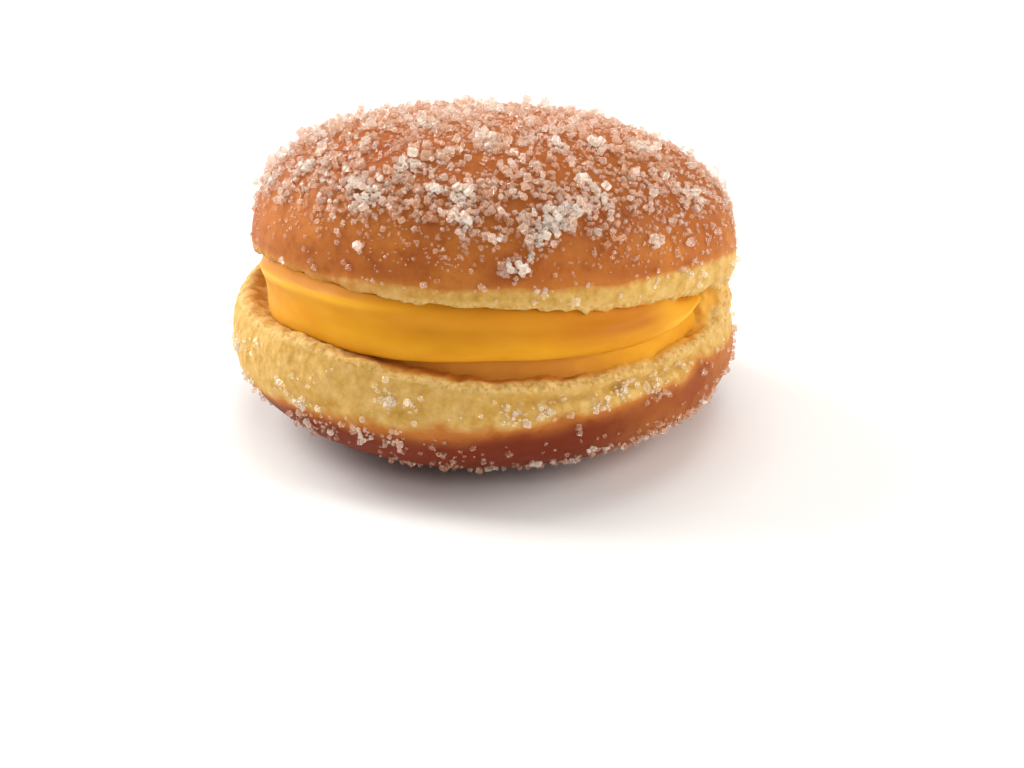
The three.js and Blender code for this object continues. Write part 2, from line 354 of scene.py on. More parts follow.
# The pale belt: how far it reaches from the cut, in mm, and the bearings between which that changes.
paleBelt = {
    "below": {"least": 4.4, "wider": 7.6, "widerTo": (-60, 75), "drop": 2.6, "dropAt": (-72, -44),
              "back": 9.0},
    "above": {"least": 1.2, "wider": 4.2, "widerTo": (-60, 80), "swellAt": (75, 105), "back": 2.8},
    "wobble": (1.0, (9.0, 9.0, 5.0), 2, 3.0), "wobbleBelow": 1.2, "wobbleAbove": 0.6,
    "backAt": (125, 178),  # where the back begins, on both sides
}
scorchedSpots = onCrust([(626, 214, 1.9), (-22.0, 24.0, 53.0, 1.6), (12.0, 30.0, 47.0, 1.3)])


def doughFields(points):
    bottom, top = inBottomFrame(points), inTopFrame(points)
    fromBottomCut, fromTopCut = fromCut(bottomHalf, bottom), fromCut(topHalf, top)
    isTop = fromTopCut > fromBottomCut
    own = np.where(isTop[:, None], top, bottom)
    away = np.where(isTop, fromTopCut, fromBottomCut)
    radius = np.hypot(own[:, 0], own[:, 1])
    rim = np.where(isTop, topHalf["radius"] - topHalf["waist"], bottomHalf["radius"] - bottomHalf["waist"])
    onWall = smoothStep(-away, 0.3, 1.1)
    return {
        "isTop": isTop,
        "fromCut": away,
        "bearing": fromFront(points[:, 0], points[:, 1]),
        "radius": radius,
        "onWall": onWall,
        "onCutFace": smoothStep(rim - radius, 0.1, 1.3) * (1 - smoothStep(away, 0.6, 1.8)) * (1 - onWall),
    }


def atBack(bearing):
    return smoothStep(np.abs(bearing), *paleBelt["backAt"])


def paleHeight(fields, points):
    # how far the pale belt reaches from the cut: wide at the left below, narrow at the left above
    bearing, low, high = fields["bearing"], paleBelt["below"], paleBelt["above"]
    below = low["least"] + low["wider"] * (1 - smoothStep(bearing, *low["widerTo"]))
    below = below - low["drop"] * (1 - smoothStep(bearing, *low["dropAt"]))
    above = high["least"] + high["wider"] * smoothStep(bearing, *high["widerTo"])
    above = above + smoothStep(bearing, *high["swellAt"])
    below = below + (low["back"] - below) * atBack(bearing)
    above = above + (high["back"] - above) * atBack(bearing)
    wobble = bumps(points, *paleBelt["wobble"])
    return np.where(fields["isTop"], above + paleBelt["wobbleAbove"] * wobble,
                    below + paleBelt["wobbleBelow"] * wobble)


def crustTone(fields, points):
    # how brown the skin is, and how dark the half that lay in the oil first
    pale, away, bearing = paleHeight(fields, points), fields["fromCut"], fields["bearing"]
    browned = smoothStep(away, pale - 1.2, pale + 2.2) * (1 - fields["onCutFace"]) * (1 - fields["onWall"])
    fried = np.where(fields["isTop"], 0.0, smoothStep(away, pale - 0.2, pale + 3.8))
    lighterAtRight = 0.75 * smoothStep(bearing, 38, 72) * (1 - smoothStep(bearing, 140, 175))
    return browned, fried * (1 - lighterAtRight)


def roughenDough(points, normals, fields, torn):
    # torn crumb, the soft belt or the baked skin, each with its own relief along the normals
    away, bearing = fields["fromCut"], fields["bearing"]
    pale = paleHeight(fields, points)
    belt = 1 - smoothStep(away, pale - 1, pale + 2.5)
    skin = 1 - np.maximum(belt, fields["onCutFace"])
    crumb = bumps(points, *dough["crumb"]) + bumps(points, *dough["crumbGrit"])
    crumb += fields["onWall"] * bumps(points, *dough["wallCrumb"])
    soft = bumps(points, *dough["belt"]) + bumps(points, *dough["beltGrit"])
    baked = bumps(points, *dough["skin"])
    baked += bumps(points, *dough["wrinkles"]) * smoothStep(points[:, 2], *dough["wrinkledAbove"])
    move = torn * crumb + (1 - torn) * (belt * soft + skin * baked)
    # a torn crease under the lower lip, from the middle to the right
    crease = dough["crease"]
    span = within(bearing, *crease["bearings"]) * ~fields["isTop"]
    span = span * smoothStep(fields["radius"], *crease["radius"])
    creaseAt = crease["fromCut"] + bumps(points, *crease["wander"])
    move -= crease["depth"] * span * hollowAt(away, creaseAt, crease["width"])
    # the fold of the hinge, where the skin is pinched as the mouth opens
    fold = dough["fold"]
    pinched = smoothStep(points[:, 1], *fold["y"]) * hollowAt(away, 0.0, fold["width"])
    move -= fold["depth"] * pinched * (fold["even"] + bumps(points, *fold["uneven"]))
    return points + normals * move[:, None]


def shapeLips(points, fields, lipEdge):
    isTop, bearing, radius = fields["isTop"], fields["bearing"], fields["radius"]
    # the lower rim stands a little higher at the left end of the mouth
    rim = dough["raisedRim"]
    raised = within(-bearing, *rim["bearings"]) * ~isTop * smoothStep(radius, *rim["radius"])
    points[:, 2] += rim["height"] * raised * (1 - smoothStep(fields["fromCut"], *rim["fades"]))
    # crumbs hang from the edge of the upper lip
    rags = dough["rags"]
    hanging = np.clip(bumps(points, *rags["noise"]), 0, 1) * isTop * lipEdge * (1 - fields["onWall"])
    points[:, 2] -= rags["length"] * hanging * smoothStep(radius, *rags["radius"])
    points[:, 2] = np.maximum(points[:, 2], 0)


def toneDough(piece, points, fields, torn):
    # what the material reads: where the dough is brown, toasted or scorched, with painted shade where it is
    # soaked and on top, and painted light on the torn end
    isTop, bearing, radius = fields["isTop"], fields["bearing"], fields["radius"]
    cutFace, onWall = fields["onCutFace"], fields["onWall"]
    browned, fried = crustTone(fields, points)
    toastedAbove = 0.34 * (1 - smoothStep(bearing, -35, 25))
    toastedBelow = 0.2 * (1 - smoothStep(bearing, -55, -5)) * cutFace
    toasted = np.where(isTop, toastedAbove, toastedBelow)
    toasted = toasted * (1 - onWall) * (1 - cutFace * isTop) * (1 - atBack(bearing))
    browned = np.maximum(browned, toasted)
    inner = smoothStep(47.2 - radius, 0, 1.6)
    wallEnd = onWall * (1 - smoothStep(bearing, 97, 103)) * smoothStep(47.9 - radius, 0, 0.8)
    scorched = nearSpots(points, scorchedSpots) * smoothStep(softNoise(points, 1.6, 15.0), -0.5, 0.1)
    tones = {
        "browned": browned,
        "deepFried": fried,
        # painted shade: the top of the dome is darkened, as if shadowed by the sugar, with a darker crust
        # there too
        "shadedTop": isTop * smoothStep(fields["fromCut"], 8, 20),
        # custard-soaked crumb on the lower cut face, darkened further as painted shade under the ribbon's
        # overhang
        "soakedAndShaded": cutFace * ~isTop * inner * within(bearing, -30, 5, 35, 60),
        # golden soaked crumb on the right cut face and torn end, made lighter as painted light where that
        # face sits in shade
        "onWall": within(bearing, 30, 60, 110, 130) * inner * np.maximum(cutFace, wallEnd),
        "scorched": np.clip(scorched, 0, 1) * 0.7,
        "crumb": torn * (1 - browned) * (1 - 2 * toasted),
    }
    for name, values in tones.items():
        setAttribute(piece, name, values)


def sculptDough(piece):
    points, normals = getPoints(piece), getNormals(piece)
    fields = doughFields(points)
    middle, width, endsAt = dough["lipEdge"]
    lipEdge = hollowAt(fields["fromCut"], middle, width) * (points[:, 1] < endsAt)
    torn = np.clip(np.maximum(np.maximum(fields["onCutFace"], lipEdge), fields["onWall"]), 0, 1)
    points = roughenDough(points, normals, fields, torn)
    shapeLips(points, fields, lipEdge)
    setPoints(piece, points)
    toneDough(piece, points, fields, torn)


def makeWall():
    # a ring of dough behind the lips, sunk out of sight where the mouth is open
    deselectAll()
    thin, squareness = 0.1, 0.45
    bpy.ops.mesh.primitive_torus_add(major_radius=1, minor_radius=thin, major_segments=420, minor_segments=20)
    piece = bpy.context.object
    points = getPoints(piece)
    angle = np.arctan2(points[:, 1], points[:, 0])
    across, up = (np.hypot(points[:, 0], points[:, 1]) * mm - 1) / thin, points[:, 2] * mm / thin
    across, up = (np.sign(v) * np.abs(v) ** squareness for v in (across, up))
    bearing = fromFront(np.cos(angle), np.sin(angle))
    middle = (crumbWall["outside"] + crumbWall["inside"]) / 2
    radius = middle + across * (crumbWall["outside"] - middle)
    x, y = radius * np.cos(angle), radius * np.sin(angle)
    start, end, (before, after) = crumbWall["start"], crumbWall["end"], crumbWall["rise"]
    slantFrom, slantOver = crumbWall["slantFrom"], crumbWall["slantOver"]
    slanted = bearing + crumbWall["slant"] * smoothStep(slantFrom - radius, 0, slantOver)
    rise = smoothStep(slanted, start - before, start + after)
    rise = rise * (1 - smoothStep(bearing, end, end + crumbWall["fall"]))
    low = faceHeight(bottomHalf, x, y) - crumbWall["depth"]
    whole = faceHeight(topHalf, x, y) + crumbWall["sunk"] - low - crumbWall["sill"]
    high = low + crumbWall["sill"] + rise * whole
    setPoints(piece, np.stack([x, y, low + (high - low) * (0.5 + 0.5 * up)], 1))
    return piece


def refineLips(piece):
    # finer faces round the mouth, where the torn crumb shows
    points = getPoints(piece)
    fields = doughFields(points)
    nearCut, farOut, upTo = dough["refineLips"]
    chosen = (fields["fromCut"] < nearCut) & (fields["radius"] > farOut) & (points[:, 1] < upTo)
    makeActive(piece)
    bpy.ops.object.mode_set(mode="EDIT")
    bpy.ops.mesh.select_mode(type="VERT")
    bpy.ops.mesh.select_all(action="DESELECT")
    bpy.ops.object.mode_set(mode="OBJECT")
    piece.data.vertices.foreach_set("select", chosen)
    bpy.ops.object.mode_set(mode="EDIT")
    bpy.ops.mesh.select_mode(type="FACE")
    bpy.ops.mesh.subdivide(number_cuts=1, smoothness=0.4)
    bpy.ops.object.mode_set(mode="OBJECT")


def makeDough():
    parts = []
    for name, half in (("bottomDough", bottomHalf), ("topDough", topHalf)):
        piece = extrudeRings(name, halfOutline(half), dough["sides"])
        setPoints(piece, placePoints(half, getPoints(piece)))
        parts.append(piece)
    parts.append(makeWall())
    deselectAll()
    for piece in parts:
        piece.select_set(True)
    bpy.context.view_layer.objects.active = parts[0]
    bpy.ops.object.join()
    piece = parts[0]
    piece.name = piece.data.name = "dough"
    applyModifier(piece, "REMESH", mode="VOXEL", voxel_size=dough["voxel"] * mm)
    applyModifier(piece, "SMOOTH", **dough["smoothing"])
    refineLips(piece)
    sculptDough(piece)
    bpy.ops.object.shade_smooth()
    return piece


# Custard: a thin older layer on the lower cut face, and the thick ribbon that bulges out over it.
# Sizes are in mm, heights on the ribbon are shares of its own height, and bearings are as above.
custard = {
    "sides": 300, "back": 32.0,
    "sunk": 0.6, "edgeSunk": 0.8,  # it sticks to the dough above and below
    "layerShare": 0.2, "layerRadius": 43.2, "layerWider": 1.6, "layerNarrower": 1.2, "flare": 1.3,
    "ribbonRadius": 44.8, "upperCrest": 1.0, "lowerCrest": 1.2, "groove": 0.7, "underLip": 1.9,
    "scoop": 2.2, "setBack": 1.3, "leftTuck": 4.6, "footRound": (0.9, 0.07),
    "crestAt": 0.86, "crestDrop": 0.12, "grooveAt": 0.56,
    "toTheLeft": (-48, 8), "leftEnd": (-78, -34), "nearTip": (48, 72),
    "tip": (83.0, 87.0),  # where the ribbon ends at the right
    "ripple": (0.22, (9.0, 9.0, 5.0), 2, 11.0), "grain": (0.05, 2.2, 1, 12.0),
    "olderGrain": (0.22, 1.8, 2, 17.0),
}


def ribbonFoot(bearing):
    # the share of the mouth's height where the ribbon ends and the older layer shows under it
    lifted = 0.26 * smoothStep(bearing, -22, 28) + 0.06 * smoothStep(bearing, 55, 75)
    tip = 0.5 * np.clip((bearing - 20) / 65, 0, 1) ** 10
    return 0.02 + (lifted + tip) * (1 - smoothStep(bearing, 110, 170))


def crestShare(bearing):
    # the share of the ribbon's height at which its upper crest runs, lower at the left
    return custard["crestAt"] - custard["crestDrop"] * (1 - smoothStep(bearing, *custard["toTheLeft"]))


def layerSide(bearing):
    wider = custard["layerWider"] * smoothStep(bearing, 25, 60)
    return custard["layerRadius"] + wider - custard["layerNarrower"] * smoothStep(bearing, 58, 84)


def ribbonSide(up, bearing):
    # the radius of the ribbon's side, from its lower edge at 0 to the dough above it at 1
    leftward, atLeftEnd = (1 - smoothStep(bearing, *custard[key]) for key in ("toTheLeft", "leftEnd"))
    crestAt = crestShare(bearing)
    upper = custard["upperCrest"] * hollowAt(up, crestAt, 0.12) * (0.1 + 0.9 * leftward)
    upper = upper * (1 - 0.7 * atLeftEnd)
    setBack = custard["setBack"] * leftward * smoothStep(up, crestAt, crestAt + 0.1) * (1 - 0.6 * atLeftEnd)
    upper = upper - setBack - custard["leftTuck"] * atLeftEnd * (1 - up)
    lowerAt = 0.18 + 0.2 * smoothStep(bearing, 40, 80)
    lower = custard["lowerCrest"] * hollowAt(up, lowerAt, 0.17) * (0.45 + 0.55 * smoothStep(bearing, -10, 45))
    groove = custard["groove"] * hollowAt(up, custard["grooveAt"], 0.14) * smoothStep(bearing, -50, 20)
    nearTip = smoothStep(bearing, *custard["nearTip"])
    groove, lower = groove * (1 - nearTip), lower * (1 - nearTip)
    scooped = custard["scoop"] * smoothStep(up, 0.16, 0.7)
    lower = lower + nearTip * (0.9 + 0.5 * hollowAt(up, 0.12, 0.12) - scooped)
    depth, share = custard["footRound"]
    footRound = depth * (np.clip(share - up, 0, 1) / share) ** 2
    underLip = (0.6 + custard["underLip"] * hollowAt(bearing, 20, 32)) * up ** 7
    radius = custard["ribbonRadius"] + upper + lower - groove - footRound - underLip
    return radius + (layerSide(bearing) - 1.0 - radius) * smoothStep(bearing, *custard["tip"]) ** 2


def custardPoints(points):
    share = np.hypot(points[:, 0], points[:, 1])
    angle = np.arctan2(points[:, 1], points[:, 0])
    level = points[:, 2]
    bearing = fromFront(points[:, 0], points[:, 1])
    split = custard["layerShare"]
    up = np.clip((level - split) / (1 - split), 0, 1)
    inRibbon = smoothStep(level, split - 0.012, split + 0.02)
    layerRadius = layerSide(bearing)
    flare = custard["flare"] * np.clip(1 - level / split, 0, 1) ** 2 * smoothStep(bearing, -20, 30)
    front = layerRadius + flare + inRibbon * (ribbonSide(up, bearing) - layerRadius)
    walled = smoothStep(bearing, crumbWall["start"] - 1, crumbWall["start"] + 9)
    front = front + walled * (crumbWall["inside"] + 0.6 - front)
    limit = custard["back"] / np.maximum(np.sin(angle), 1e-3)
    reach = np.where(np.sin(angle) > 0, (front ** -8 + limit ** -8) ** (-1 / 8), front)
    radius = share * reach
    x, y = radius * np.cos(angle), radius * np.sin(angle)
    foot = ribbonFoot(bearing)
    height = np.where(level < split, foot * level / split, foot + (1 - foot) * up)
    edge = custard["edgeSunk"] * (1 - np.clip(level / split, 0, 1)) * (share > 0.97)
    low = faceHeight(bottomHalf, x, y) - custard["sunk"] - edge
    high = faceHeight(topHalf, x, y) + custard["sunk"]
    return np.stack([x, y, low + (high - low) * height], 1)


def toneCustard(piece, bearing, up, older):
    # painted shade: the ribbon is darker above its lower edge, and above its crest at the left
    inRibbon, crestAt = up > 0, crestShare(bearing)
    nearTip = 1 - smoothStep(bearing, 64, 77)
    shadedDeeper = smoothStep(up, 0.22, 0.5) * nearTip
    shadedDeeper = shadedDeeper * (0.42 * smoothStep(bearing, -15, 10) + 0.5 * smoothStep(bearing, 25, 55))
    aboveCrest = 0.7 * smoothStep(up, crestAt, crestAt + 0.06) * (1 - smoothStep(bearing, -20, 15))
    leftEnd = 0.3 * inRibbon * (1 - smoothStep(bearing, -60, -25))
    towardsTip = 0.35 * inRibbon * smoothStep(bearing, 30, 50) * nearTip
    for tone in (aboveCrest, leftEnd, towardsTip):
        shadedDeeper = np.maximum(shadedDeeper, tone)
    # painted highlight: a lighter band along the ribbon's lower edge, over its tip and along the crest at the
    # left
    paintedHighlight = hollowAt(up, 0.1, 0.1) * (0.1 * smoothStep(bearing, 20, 50) + 0.3 * smoothStep(bearing, 60, 72))
    paintedHighlight = np.maximum(paintedHighlight, 0.8 * inRibbon * smoothStep(bearing, 62, 77)) * (1 - smoothStep(bearing, 84, 88))
    paintedHighlight = np.maximum(paintedHighlight, 0.8 * hollowAt(up, crestAt - 0.03, 0.05) * (1 - smoothStep(bearing, -20, 5)))
    # the older layer in the middle is darker: a soaked look and painted shade under the ribbon's overhang
    setAttribute(piece, "stainedAndShaded", older * within(bearing, -40, -5, 38, 64))
    setAttribute(piece, "shadedDeeper", shadedDeeper)
    setAttribute(piece, "paintedHighlight", paintedHighlight)
    setAttribute(piece, "crumbed", within(bearing, 84, 91, 120, 140))


def makeCustard():
    split, sides = custard["layerShare"], custard["sides"]
    levels = [0.04, 0.09, 0.13, 0.16, 0.18, 0.19, split, 0.206, 0.215, 0.23, 0.25, 0.275]
    levels += [0.3 + 0.7 * i / 20 for i in range(20)] + [0.98]
    bottomFace = [(0.1, 0), (0.5, 0), (0.8, 0), (0.93, 0)]
    topFace = [(0.99, 1), (0.93, 1), (0.8, 1), (0.5, 1), (0.1, 1)]
    rings = bottomFace + [(1, level) for level in levels] + topFace
    piece = extrudeRings("custard", rings, sides)
    setPoints(piece, custardPoints(getPoints(piece)))
    points, normals = getPoints(piece), getNormals(piece)
    older = np.arange(len(points)) // sides < len(bottomFace) + levels.index(split)  # below the ribbon's foot
    ripple = bumps(points, *custard["ripple"])
    grain = bumps(points, *custard["grain"]) + older * bumps(points, *custard["olderGrain"])
    level = np.repeat([ring[1] for ring in rings], sides)
    toneCustard(piece, fromFront(points[:, 0], points[:, 1]), (level - split) / (1 - split), older)
    sideways = np.linalg.norm(normals[:, :2], axis=1)
    setPoints(piece, points + normals * ((ripple + grain) * sideways)[:, None])
    makeActive(piece)
    bpy.ops.object.shade_smooth_by_angle(angle=math.radians(50))
    return piece


# Sugar: chamfered crystals strewn over the crust, thick on the top and thin on the sides.
sugarKinds = {
    "sugar_top_large": {"where": "top", "seed": 31, "count": 1550, "size": (0.95, 1.65), "spacing": 0.68,
                        "milky": 0.36, "clump": 0.9, "stack": 0.5, "patch": (8.0, 3.6), "heaped": 2.2,
                        "thickens": (8, 22)},
    "sugar_top_medium": {"where": "top", "seed": 32, "count": 3100, "size": (0.6, 0.95), "spacing": 0.6,
                         "milky": 0.3, "clump": 0.62, "stack": 0.3, "patch": (8.0, 3.0), "heaped": 1.6,
                         "thickens": (6, 20)},
    "sugar_top_fine": {"where": "top", "seed": 33, "count": 3800, "size": (0.34, 0.62), "spacing": 0.7,
                       "milky": 0.15, "clump": 0.5, "stack": 0.0, "patch": (10.0, 2.5), "heaped": 0.4,
                       "thickens": (2, 13)},
    "sugar_bottom": {"where": "bottom", "seed": 34, "count": 880, "size": (0.45, 1.3), "spacing": 0.78,
                     "milky": 0.15, "clump": 0.9, "stack": 0.2, "patch": (8.0, 3.2), "heaped": 2.6},
}
sugarHeaps = {
    "top": onCrust([
        (545, 226, 3.6), (556, 222, 2.6), (538, 240, 1.6), (512, 266, 1.8), (524, 270, 1.7),
        (436, 190, 2.0), (462, 196, 3.0), (465, 224, 2.6), (368, 200, 3.9), (355, 185, 2.8),
        (412, 166, 3.1), (424, 128, 2.6), (493, 112, 3.4), (485, 140, 2.4), (518, 195, 1.6),
        (572, 210, 2.2), (580, 184, 2.4), (600, 200, 2.8), (497, 240, 1.3), (531, 257, 1.3),
        (24.0, -38.4, 44.8, 1.5), (32.4, -32.2, 45.3, 1.0), (275.1, 180, 2.6), (286, 197, 1.6),
        (308.1, 168, 3.0), (360.1, 247, 1.2), (597, 146, 2.6), (640, 150, 2.4), (690, 195, 2.4),
        (655, 243, 2.0), (560.1, 150, 2.2),
    ]),
    "bottom": onCrust([
        (305, 424, 2.2), (328, 428, 2.0), (365, 432, 2.4), (395, 440, 2.2), (390, 402, 1.6),
        (412, 406, 1.4), (512, 416, 1.8), (526, 421, 1.6), (546, 411, 1.8), (600, 405, 2.2),
        (622, 391, 2.0), (650, 389, 1.5), (535, 462, 1.6), (570, 459, 1.8), (492, 467, 1.6),
        (36.0, -30.0, 10.0, 1.8), (645, 438, 1.8), (43.0, -16.0, 10.0, 1.2), (280, 381, 1.5),
        (300, 404, 2.0), (248, 316, 1.8), (240, 345, 1.8), (318, 412, 1.8), (590, 448, 1.4),
        (700, 400, 0.9), (262, 392, 1.3),
    ]),
}
bareSpots = onCrust([
    (462, 165, 3.5), (378, 166, 2.0), (312, 205, 3.0), (20.5, -27.5, 59.6, 2.6),
    (14.0, -36.0, 56.6, 2.4), (610, 165, 2.4), (420, 180, 1.6), (31.5, -29.0, 52.5, 4.0),
    (430, 140, 3.0), (12.0, -46.0, 16.0, 5.0), (-35.0, -28.0, 45.0, 4.0), (626, 214, 2.4),
    (-29.5, -33.0, 9.5, 3.4), (46.5, 0.5, 11.8, 3.6),
])
crystalShape = {"chamfer": 0.15, "uneven": 0.035, "tilt": 0.45, "sides": (0.72, 1.12), "lift": 0.28,
                "stackLift": (0.5, 1.1), "smallerOften": 1.7}


def makeCrystal():
    deselectAll()
    bpy.ops.mesh.primitive_cube_add(size=1)
    crystal = bpy.context.object
    bpy.ops.object.mode_set(mode="EDIT")
    bpy.ops.mesh.select_all(action="SELECT")
    bpy.ops.mesh.bevel(offset=crystalShape["chamfer"], segments=1, affect="EDGES")
    bpy.ops.mesh.select_all(action="SELECT")
    bpy.ops.mesh.quads_convert_to_tris()
    bpy.ops.object.mode_set(mode="OBJECT")
    points = np.array([v.co for v in crystal.data.vertices])
    faces = np.array([list(f.vertices) for f in crystal.data.polygons])
    ridges = np.array([max(abs(c) for c in f.normal) < 0.99 for f in crystal.data.polygons])
    bpy.data.objects.remove(crystal)
    return points, faces, ridges


def crustSamples(piece):
    mesh = piece.data
    mesh.calc_loop_triangles()
    corners = np.empty(len(mesh.loop_triangles) * 3, np.int32)
    mesh.loop_triangles.foreach_get("vertices", corners)
    corners = corners.reshape(-1, 3)
    points = getPoints(piece)[corners]
    cross = np.cross(points[:, 1] - points[:, 0], points[:, 2] - points[:, 0])
    area = np.linalg.norm(cross, axis=1) / 2
    return points, cross / (2 * area[:, None] + 1e-12), area


def sugarDensity(kind, centres, normals):
    fields = doughFields(centres)
    away = fields["fromCut"]
    wide, small = kind["patch"]
    patches = bumps(centres, 0.65, wide, 2, 20.0) + bumps(centres, 0.55, small, 2, kind["seed"])
    patches = 1 - kind["clump"] + kind["clump"] * smoothStep(patches, 0.0, 0.28)
    if kind["where"] == "top":
        density = (0.05 + 0.95 * smoothStep(away, *kind["thickens"]) ** 1.2) * patches * fields["isTop"]
        density = density * (1 - 0.4 * smoothStep(centres[:, 1], -14, 8))  # thinner towards the back
    else:
        density = (0.2 * hollowAt(away, 14.0, 5.0) + 0.14 * hollowAt(away, 4.0, 3.0)) * patches
        density = density * smoothStep(fields["radius"], 25, 34) * ~fields["isTop"]
    density = density + kind["heaped"] * nearSpots(centres, sugarHeaps[kind["where"]])
    density = density * np.clip(1 - 0.9 * nearSpots(centres, bareSpots), 0, 1)
    outward = np.einsum("ij,ij->i", normals, centres - middlePoint) > 0
    skinned = (fields["isTop"] == (kind["where"] == "top")) * smoothStep(away, 0.8, 2.2)
    return density * outward * skinned * (centres[:, 2] > 1.7)


def chooseSpots(rng, kind, samples, density):
    # places at random, as thick as the density says, and none of them too near another
    points, _, area = samples
    weight = area * density
    picks = rng.choice(len(area), size=kind["count"] * 3, p=weight / weight.sum())
    a, b = rng.random((2, len(picks)))
    flip = a + b > 1
    a, b = np.where(flip, 1 - a, a)[:, None], np.where(flip, 1 - b, b)[:, None]
    corner = points[picks]
    spots = corner[:, 0] + a * (corner[:, 1] - corner[:, 0]) + b * (corner[:, 2] - corner[:, 0])
    smallest, largest = kind["size"]
    sizes = smallest + (largest - smallest) * rng.random(len(picks)) ** crystalShape["smallerOften"]
    gap = largest * kind["spacing"]
    taken, chosen = {}, []
    for i, spot in enumerate(spots):
        cell = tuple(np.floor(spot / gap).astype(int))
        around = [taken.get((cell[0] + x, cell[1] + y, cell[2] + z), [])
                  for x in (-1, 0, 1) for y in (-1, 0, 1) for z in (-1, 0, 1)]
        reach = sizes[i] * kind["spacing"]
        if all(np.sum((spots[j] - spot) ** 2) > reach ** 2 for near in around for j in near):
            taken.setdefault(cell, []).append(i)
            chosen.append(i)
        if len(chosen) == kind["count"]:
            break
    return spots[chosen], sizes[chosen], picks[chosen]


def placeCrystal(rng, base, spot, normal, size, stacked):
    upright = Vector(normal)
    turn = upright.to_track_quat("Z", "Y").to_matrix() @ Matrix.Rotation(rng.random() * 6.28, 3, "Z")
    for axis in ("X", "Y"):
        turn = turn @ Matrix.Rotation(rng.normal(0, crystalShape["tilt"]), 3, axis)
    shape = base + rng.normal(0, crystalShape["uneven"], base.shape)
    shape = shape * (size * rng.uniform(*crystalShape["sides"], 3))
    lift = size * (crystalShape["lift"] + (rng.random() < stacked) * rng.uniform(*crystalShape["stackLift"]))
    return shape @ np.array(turn).T + spot + lift * np.array(upright)


def strewCrystals(name, kind, samples, crystal):
    rng = np.random.default_rng(kind["seed"])
    density = sugarDensity(kind, samples[0].mean(1), samples[1])
    crowded = np.clip(density / np.percentile(density[density > 0.05], 92), 0, 1)
    spots, sizes, picks = chooseSpots(rng, kind, samples, density)
    base, faces, ridges = crystal
    browned, fried = crustTone(doughFields(spots), spots)
    heaped = np.clip(nearSpots(spots, sugarHeaps[kind["where"]]), 0, 1)
    milky = kind["milky"] * 2.6 * rng.random(len(spots)) ** 1.6 + 0.15 * crowded[picks] + 0.75 * heaped
    stacked = kind["stack"] * crowded[picks]
    vertices = [placeCrystal(rng, base, spots[i], samples[1][picks[i]], sizes[i], stacked[i])
                for i in range(len(spots))]
    polygons = [faces + i * len(base) for i in range(len(spots))]
    mesh = bpy.data.meshes.new(name)
    mesh.from_pydata((np.concatenate(vertices) * mm).tolist(), [], np.concatenate(polygons).tolist())
    piece = bpy.data.objects.new(name, mesh)
    bpy.context.scene.collection.objects.link(piece)
    for label, values in (("browned", browned), ("deepFried", fried), ("milky", np.clip(milky, 0, 1))):
        setAttribute(piece, label, np.repeat(values, len(base)))
    ridge = mesh.attributes.new("ridge", "FLOAT", "FACE")
    ridge.data.foreach_set("value", np.tile(ridges, len(spots)).astype(np.float32))
    print("sugar", name, len(spots), "crystals")
    return piece, np.repeat(heaped > 0.4, len(faces))


# Materials.
def linear(hexColour):
    channels = [int(hexColour[i:i + 2], 16) / 255 for i in (1, 3, 5)]
    return [c / 12.92 if c <= 0.04045 else ((c + 0.055) / 1.055) ** 2.4 for c in channels] + [1]


def addNode(tree, kind, inputs=None, **settings):
    # an input is a plain value, or another node's output that is linked to it
    node = tree.nodes.new(kind)
    for key, value in settings.items():
        setattr(node, key, value)
    for key, value in (inputs or {}).items():
        if isinstance(value, bpy.types.NodeSocket):
            tree.links.new(value, node.inputs[key])
        else:
            node.inputs[key].default_value = value
    return node


def newMaterial(name):
    material = bpy.data.materials.new(name)
    material.use_nodes = True
    material.node_tree.nodes.clear()
    return material, material.node_tree


def finishMaterial(tree, values):
    shader = addNode(tree, "ShaderNodeBsdfPrincipled", values)
    addNode(tree, "ShaderNodeOutputMaterial", {"Surface": shader.outputs[0]})


def readTones(tree, *names):
    return [addNode(tree, "ShaderNodeAttribute", attribute_name=name).outputs["Fac"] for name in names]


def layColours(tree, base, *coats):
    # each coat covers what is under it by its amount
    for amount, colour in coats:
        base = addNode(tree, "ShaderNodeMix", {0: amount, 6: base, 7: colour},
                       data_type="RGBA", clamp_result=True).outputs[2]
    return base


def mottle(tree, width, detail=3.0, roughness=0.5, stretch=(1, 1, 1)):
    # a random pattern whose bumps are about width millimetres wide
    place = addNode(tree, "ShaderNodeTexCoord").outputs["Object"]
    scale = [1 / (width * mm) * s for s in stretch]
    mapped = addNode(tree, "ShaderNodeMapping", {"Scale": scale, "Vector": place}).outputs[0]
    return addNode(tree, "ShaderNodeTexNoise", {"Scale": 1.0, "Detail": detail, "Roughness": roughness,
                                                "Vector": mapped}).outputs["Fac"]


def spreadOut(tree, rows):
    # each row: a pattern, the lowest and highest value that count in it, and what these become
    return {name: addNode(tree, "ShaderNodeMapRange", dict(enumerate(row)), clamp=True).outputs[0]
            for name, row in rows.items()}


# the soaked colour and the colour under the sugar hold painted shade besides their own tone; the wall colour
# holds painted light besides its golden crumb
doughColours = {"pale": "#DDB66C", "paleShade": "#C1933C", "gold": "#C07530", "brown": "#9D5020",
                "dark": "#7A3513", "deep": "#722A12", "crumb": "#E6C480", "crumbShade": "#BF903C",
                "soakedAndShaded": "#BC7528", "underSugarShade": "#8A481B", "wall": "#E2A740", "scorched": "#42191A"}


